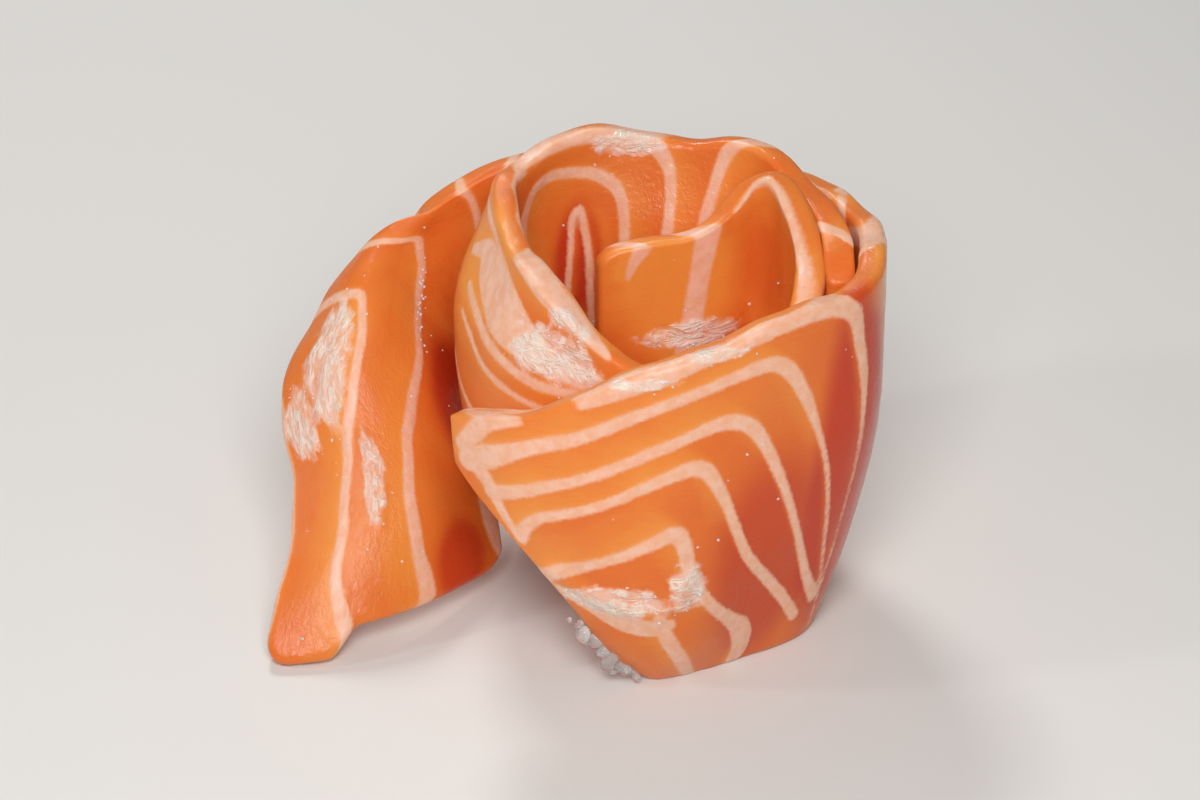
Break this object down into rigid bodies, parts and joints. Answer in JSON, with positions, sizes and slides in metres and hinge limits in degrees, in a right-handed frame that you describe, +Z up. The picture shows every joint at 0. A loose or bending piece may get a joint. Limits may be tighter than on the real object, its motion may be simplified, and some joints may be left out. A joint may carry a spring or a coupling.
{
  "type": "salmon sashimi",
  "caption": "Rose of thin raw salmon slices, rolled upright with open folds, with one slice draped down its side, striped with pale fat lines and glossy with moisture",
  "frame": {"origin": "middle of the foot, on the surface that the slices stand on", "axes": "+Z up, +X from the draped slice towards the rolled rose, +Y away from the shown front"},
  "size_m": [0.087, 0.07, 0.0581],
  "materials": {
    "raw_salmon": "moist translucent orange flesh with pale cream fat lines and wet highlights",
    "melt_water": "clear beads of melting ice"
  },
  "bodies": {
    "root": {"core_slice": "raw_salmon", "wrap_slice": "raw_salmon", "draped_slice": "raw_salmon"}
  },
  "joints": []
}
